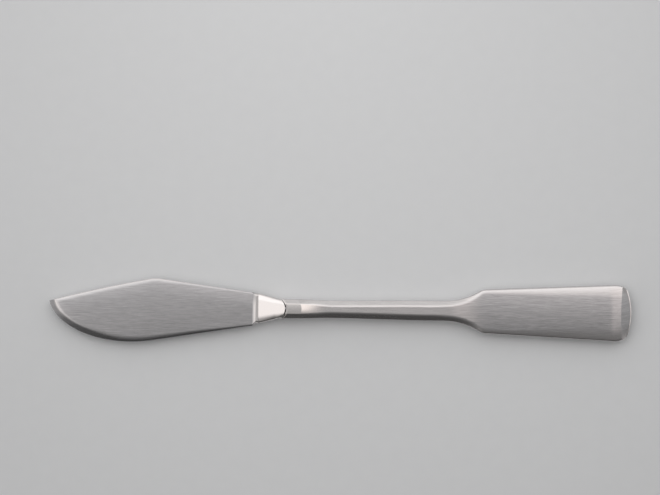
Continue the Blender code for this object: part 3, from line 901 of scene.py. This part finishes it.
def handle_station(along, half_width, trim=0.0):
    """The section of the handle at a distance behind its front; trim takes it in to round off an edge."""
    fall_end = LAND_LENGTH + NECK_FALL_LENGTH
    fall = min(max((along - LAND_LENGTH) / NECK_FALL_LENGTH, 0.0), 1.0)
    neck = (along - fall_end) / (NECK_LENGTH - fall_end)
    flare = (along - NECK_LENGTH) / FLARE_LENGTH
    into_band = max(along - (NECK_LENGTH + FLARE_LENGTH + SPADE_LENGTH - BAND_LENGTH), 0.0)
    band_share = min(into_band / BAND_LENGTH, 1.0)
    blend_left = max(BAND_BLEND - into_band, 0.0)
    dip = BAND_SLOPE * (into_band - BAND_BLEND / 2 + blend_left ** 2 / BAND_BLEND / 2)
    height = NECK_THICKNESS + (CREST_THICKNESS - NECK_THICKNESS) * (1 - fall) ** 2
    height += ease(0, NECK_REAR_THICKNESS - NECK_THICKNESS, neck)
    height += ease(0, SPADE_THICKNESS - NECK_REAR_THICKNESS, (along - NECK_LENGTH - THIN_START) / THIN_LENGTH)
    roll = LAND_ROLL + (FACET_ROLL - LAND_ROLL) * min(fall / ROLL_GROWTH, 1.0)
    neck_flat = (LAND_FLAT + (NECK_FLAT - LAND_FLAT) * fall + ease(0, NECK_REAR_FLAT - NECK_FLAT, neck)) / 2
    spade = min(max((along - NECK_LENGTH - FLARE_LENGTH) / SPADE_LENGTH, 0.0), 1.0)
    lean = ease(FACET_LEAN, SPADE_FRONT_LEAN, flare) + (SPADE_LEAN - SPADE_FRONT_LEAN) * spade
    spade_edge = SPADE_FRONT_EDGE + (SPADE_EDGE - SPADE_FRONT_EDGE) * spade
    roll_width = ease(roll * math.sin(FACET_LEAN), spade_edge, flare)
    spade_flat = half_width - spade_edge - SPADE_CORNER * (1 - math.sin(lean))
    spade_crown = (1 + (BAND_CROWN_SHARE - 1) * band_share) / (2 * SPADE_CROWN_RADIUS)
    return station(
        handle_front + along,
        half_width - trim,
        height / 2 - trim - dip,
        ease(neck_flat, spade_flat, flare),
        roll_width / math.sin(lean),
        lean,
        ease(EDGE_CORNER, SPADE_CORNER, flare),
        bow=seam_bow * (1 - fall) - band_share / (2 * BEND_LINE_RADIUS),
        crown=(1 - fall) / (2 * LAND_CROWN_RADIUS) + ease(0, spade_crown, flare),
        polish=ease(1, NECK_POLISH, fall) + ease(0, -NECK_POLISH, flare),
        edge_polish=EDGE_POLISH,
    )


def flare_half_width(along):
    """Plan of the flare: out of the neck on a broad hollow arc, then round a small corner to the spade."""
    side = math.atan((SPADE_WIDTH - SPADE_FRONT_WIDTH) / 2 / SPADE_LENGTH)
    corner_end = FLARE_LENGTH - FLARE_RUN_ON
    rise = (SPADE_FRONT_WIDTH - NECK_REAR_WIDTH) / 2 - math.tan(side) * FLARE_RUN_ON
    turn = math.acos((FLARE_RADIUS + FLARE_CORNER * math.cos(side) - rise) / (FLARE_RADIUS + FLARE_CORNER))
    corner_start = corner_end - FLARE_CORNER * (math.sin(turn) - math.sin(side))
    start = corner_start - FLARE_RADIUS * math.sin(turn)
    neck_side = NECK_REAR_WIDTH / 2
    if along < start:
        return neck_side
    if along < corner_start:
        return neck_side + FLARE_RADIUS - math.sqrt(FLARE_RADIUS ** 2 - (along - start) ** 2)
    if along < corner_end:
        ahead = corner_end + FLARE_CORNER * math.sin(side) - along
        return neck_side + rise - FLARE_CORNER * math.cos(side) + math.sqrt(FLARE_CORNER ** 2 - ahead ** 2)
    return neck_side + rise + math.tan(side) * (along - corner_end)


def handle_stations():
    """From the bottom of the socket out to the front face, along the neck and the spade, and over its end."""
    stops = [
        round_station(socket_end, 0.0),
        round_station(socket_end, SOCKET_RADIUS),
        round_station(handle_front, SOCKET_RADIUS, bow=seam_bow),
    ]
    for along in (0.0, SEAM_GROOVE):
        solder = station(
            handle_front + along,
            CREST_WIDTH / 2,
            CREST_THICKNESS / 2 - SEAM_DEPTH,
            LAND_FLAT / 2,
            LAND_ROLL,
            SEAM_LEAN,
            EDGE_CORNER,
            bow=seam_bow,
        )
        stops.append(solder)
    for step in range(EDGE_STEPS + 1):
        angle = math.pi / 2 * step / EDGE_STEPS
        along = SEAM_GROOVE + HANDLE_EDGE_ROUND * (1 - math.cos(angle))
        stops.append(handle_station(along, CREST_WIDTH / 2, HANDLE_EDGE_ROUND * (1 - math.sin(angle))))
    fall_end = LAND_LENGTH + NECK_FALL_LENGTH
    first_row = math.ceil((SEAM_GROOVE + HANDLE_EDGE_ROUND) / ROW_STEP)
    for step in range(first_row, round(NECK_LENGTH / ROW_STEP) + 1):
        along = min(step * ROW_STEP, NECK_LENGTH)
        width = ease(CREST_WIDTH, NECK_WIDTH, (along - LAND_LENGTH) / NECK_FALL_LENGTH)
        width += ease(0, NECK_REAR_WIDTH - NECK_WIDTH, (along - fall_end) / (NECK_LENGTH - fall_end))
        stops.append(handle_station(along, width / 2))
    for step in range(1, FLARE_ROWS + 1):
        along = FLARE_LENGTH * step / FLARE_ROWS
        stops.append(handle_station(NECK_LENGTH + along, flare_half_width(along)))
    spade_start = NECK_LENGTH + FLARE_LENGTH
    spade_rows = round(SPADE_LENGTH / ROW_STEP)
    for step in range(1, spade_rows + 1):
        share = step / spade_rows
        half_width = (SPADE_FRONT_WIDTH + (SPADE_WIDTH - SPADE_FRONT_WIDTH) * share) / 2
        half_width -= DRAW_IN * max(1 - SPADE_LENGTH * (1 - share) / DRAW_IN_LENGTH, 0.0) ** 2
        stops.append(handle_station(spade_start + SPADE_LENGTH * share, half_width))
    # The end carries on from the last section of the band
    bend_line = stops[-1]
    half_height = bend_line["half_height"]
    for step in range(1, END_ROWS + 1):
        share = step / END_ROWS
        row_middle = (step - 0.5) / END_ROWS
        slope = END_START_SLOPE + (END_LAST_SLOPE - END_START_SLOPE) * row_middle
        half_height -= slope * (END_LENGTH - END_LIP) / END_ROWS
        stop = station(
            bend_line["x"] + (END_LENGTH - END_LIP) * share,
            SPADE_WIDTH / 2 - DRAW_IN - END_CORNER * (1 - math.sqrt(1 - share * share)),
            half_height,
            bend_line["half_flat"] - END_CORNER * share * share,
            bend_line["roll"],
            SPADE_LEAN,
            SPADE_CORNER * (1 - END_SHARPENING * share),
            bow=bend_line["bow"] + (1 / (2 * END_RADIUS) - bend_line["bow"]) * share,
            crown=bend_line["crown"] * (1 + (END_CROWN_SHARE - 1) * share),
            polish=0.0,
            edge_polish=EDGE_POLISH,
        )
        stops.append(stop)
    lip = dict(stops[-1])
    lip["x"] += END_LIP
    lip["half_height"] -= END_LIP_SLOPE * END_LIP
    lip["polish"] = LIP_POLISH
    stops.append(dict(stops[-1], polish=LIP_POLISH))
    stops.append(lip)
    stops.append(dict(stops[-1], fullness=0.0))
    return stops


handle_steel = steel(
    "satin_handle_steel",
    brushed_roughness=0.22,
    polished_roughness=0.14,
    grain_contrast=2.4,
    anisotropy=0.6,
)
handle = sweep_piece("handle_body", handle_stations(), handle_steel)
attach(handle, "root")
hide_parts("handle")


# Table, light and camera
# A pale matt table top in a dim room, seen straight from above, with a pool of light painted on it behind the
# knife. The
# room gives all the lamp light: it is dark in front and light behind, with soft panels to both sides and a
# grey horizon.

FLOOR_SIZE = 12.0
FLOOR_GRAIN = 0.004
MOTTLE_SHARE = 0.08
# Painted pool of light on the board: its centre, how far it reaches, and the board's colour at its centre and
# beyond it
LIGHT_POOL_CENTRE = (-0.01, 0.12, 0.0)
LIGHT_POOL_REACH = 0.26
BOARD_IN_LIGHT_POOL = "#FDFEFF"
BOARD_BEYOND_LIGHT_POOL = "#D3D4D5"
BOARD_ROUGHNESS = 0.9
BOARD_GLOSS = 0.1

floor_mesh = bpy.data.meshes.new("table_top")
half_floor = FLOOR_SIZE / 2
floor_signs = ((-1, -1), (1, -1), (1, 1), (-1, 1))
floor_corners = [(x_sign * half_floor, y_sign * half_floor, 0) for x_sign, y_sign in floor_signs]
floor_mesh.from_pydata(floor_corners, [], [(0, 1, 2, 3)])
floor = bpy.data.objects.new("table_top", floor_mesh)
bpy.context.scene.collection.objects.link(floor)
# Matt white board: it spreads the light evenly and has a faint mottle. A pool of light is painted on it,
# palest behind the knife
board = bpy.data.materials.new("matt_white_board")
board.use_nodes = True
board_tree = board.node_tree
board_shader = board_tree.nodes["Principled BSDF"]
floor_place = add_node(board_tree, "ShaderNodeTexCoord").outputs["Object"]
mottle = add_node(board_tree, "ShaderNodeTexNoise", {"Vector": floor_place, "Scale": 1 / FLOOR_GRAIN})
pool_distance = add_node(board_tree, "ShaderNodeVectorMath", {0: floor_place, 1: LIGHT_POOL_CENTRE}, operation="DISTANCE")
light_pool_falloff = add_node(
    board_tree, "ShaderNodeMapRange", {"Value": pool_distance.outputs["Value"], "From Max": LIGHT_POOL_REACH}
)
mottle_and_pool_falloff = add_node(
    board_tree, "ShaderNodeMath", {0: mottle, 1: MOTTLE_SHARE, 2: light_pool_falloff}, operation="MULTIPLY_ADD"
)
board_colour = add_node(
    board_tree,
    "ShaderNodeMix",
    {"Factor": mottle_and_pool_falloff, 6: colour(BOARD_IN_LIGHT_POOL), 7: colour(BOARD_BEYOND_LIGHT_POOL)},
    data_type="RGBA",
)
board_tree.links.new(board_colour.outputs[2], board_shader.inputs["Base Color"])
board_shader.inputs["Roughness"].default_value = BOARD_ROUGHNESS
board_shader.inputs["Specular IOR Level"].default_value = BOARD_GLOSS
floor.data.materials.append(board)

# Places in the room are parts of a direction of length 1: X to the handle's end, Y to the back, Z up
ROOM_STRENGTH = 1.63
ROOM_TONES = (
    # how far back a direction points, and the tone seen there
    (-0.8, "#3C3C3C"),
    (-0.5, "#4A4A4A"),
    (-0.34, "#5D5D5D"),
    (-0.17, "#707070"),
    (0.0, "#919191"),
    (0.08, "#B5B5B5"),
    (0.19, "#CACACA"),
    (0.29, "#E6E6E6"),
    (0.42, "#E6E6E6"),
    (0.6, "#C0C0C0"),
    (0.8, "#BABABA"),
)
# How much less front and back count far to the sides, and how much further back the left counts
ROOM_SIDE_LIFT = 1.25
ROOM_LEFT_LIFT = 0.08
SIDE_PANELS = (
    # slant of each panel's inner edge, where it fades in and out again along X, its front along Y, its tone
    (0.0, (-0.05, -0.25), (-0.70, -0.52), (-0.55, -0.20), "#D8D6D5"),
    (0.9, (0.05, 0.30), (0.50, 0.31), (-0.40, 0.00), "#DED8D5"),
    (0.0, (0.48, 0.58), (0.80, 0.62), (-0.25, 0.10), "#A2A2A2"),
)
# Where all panels end towards the back
PANEL_BACK = (0.65, 0.40)

# The grey horizon fills up from its top downwards, and is missing low in front
HORIZON_TONE = "#9B9B9B"
HORIZON_TOP = 0.30
HORIZON_FULL = 0.06
HORIZON_FRONT = (-0.8, -0.3)

world = bpy.data.worlds.new("dim_room")
world.use_nodes = True
room_tree = world.node_tree
heading = add_node(room_tree, "ShaderNodeTexCoord").outputs["Generated"]
toward = add_node(room_tree, "ShaderNodeSeparateXYZ", {"Vector": heading}).outputs
aside = add_node(room_tree, "ShaderNodeMath", {0: toward["X"], 1: toward["X"]}, operation="MULTIPLY")
front_share = add_node(
    room_tree, "ShaderNodeMath", {0: aside, 1: -ROOM_SIDE_LIFT, 2: 1.0}, operation="MULTIPLY_ADD"
)
depth = add_node(room_tree, "ShaderNodeMath", {0: toward["Y"], 1: front_share}, operation="MULTIPLY")
reach = add_node(
    room_tree, "ShaderNodeMath", {0: toward["X"], 1: -ROOM_LEFT_LIFT, 2: depth}, operation="MULTIPLY_ADD"
)
reach_share = add_node(room_tree, "ShaderNodeMapRange", {"Value": reach, "From Min": -1.0, "From Max": 1.0})
room = add_node(room_tree, "ShaderNodeValToRGB", {"Fac": reach_share})
tones = room.color_ramp.elements
# Added tones start in the middle and are then moved to their places
while len(tones) < len(ROOM_TONES):
    tones.new(0.5)
for tone, (reach_back, shade) in zip(tones, ROOM_TONES):
    tone.position = (reach_back + 1) / 2
    tone.color = colour(shade)
light = room.outputs["Color"]
for slant, fade_in, fade_out, front_fade, shade in SIDE_PANELS:
    panel_share = 1.0
    inner = add_node(
        room_tree, "ShaderNodeMath", {0: toward["Y"], 1: slant, 2: toward["X"]}, operation="MULTIPLY_ADD"
    )
    for part, (start, end) in (
        (inner, fade_in),
        (toward["X"], fade_out),
        (toward["Y"], front_fade),
        (toward["Y"], PANEL_BACK),
    ):
        fade = add_node(
            room_tree,
            "ShaderNodeMapRange",
            {"Value": part, "From Min": start, "From Max": end},
            interpolation_type="SMOOTHSTEP",
        )
        panel_share = add_node(room_tree, "ShaderNodeMath", {0: fade, 1: panel_share}, operation="MULTIPLY")
    light = add_node(
        room_tree,
        "ShaderNodeMix",
        {"Factor": panel_share, 6: light, 7: colour(shade)},
        data_type="RGBA",
        blend_type="LIGHTEN",
    ).outputs[2]
haze = add_node(
    room_tree,
    "ShaderNodeMapRange",
    {"Value": toward["Z"], "From Min": HORIZON_TOP, "From Max": HORIZON_FULL},
    interpolation_type="SMOOTHSTEP",
)
haze_front = add_node(
    room_tree,
    "ShaderNodeMapRange",
    {"Value": toward["Y"], "From Min": HORIZON_FRONT[0], "From Max": HORIZON_FRONT[1]},
    interpolation_type="SMOOTHSTEP",
)
haze_share = add_node(room_tree, "ShaderNodeMath", {0: haze, 1: haze_front}, operation="MULTIPLY")
sky = add_node(
    room_tree,
    "ShaderNodeMix",
    {"Factor": haze_share, 6: light, 7: colour(HORIZON_TONE)},
    data_type="RGBA",
)
background = room_tree.nodes["Background"]
background.inputs["Strength"].default_value = ROOM_STRENGTH
room_tree.links.new(sky.outputs[2], background.inputs["Color"])
bpy.context.scene.world = world

# The camera looks straight down, turned so that the knife slopes a little in the picture
IMAGE_WIDTH = 660
METRES_PER_PIXEL = 0.0002922
KNIFE_SLOPE = 0.01424
CAMERA_HEIGHT = 1.2
CAMERA_X = -0.003256
CAMERA_Y = 0.01901
SENSOR = 36.0

camera_data = bpy.data.cameras.new("camera")
camera_data.sensor_width = SENSOR
camera_data.lens = SENSOR * CAMERA_HEIGHT / (IMAGE_WIDTH * METRES_PER_PIXEL)
camera = bpy.data.objects.new("camera", camera_data)
camera.location = (CAMERA_X, CAMERA_Y, CAMERA_HEIGHT + axis.z)
camera.rotation_euler = (0, 0, math.atan(KNIFE_SLOPE))
bpy.context.scene.collection.objects.link(camera)
bpy.context.scene.camera = camera
bpy.context.scene.view_settings.view_transform = "Standard"
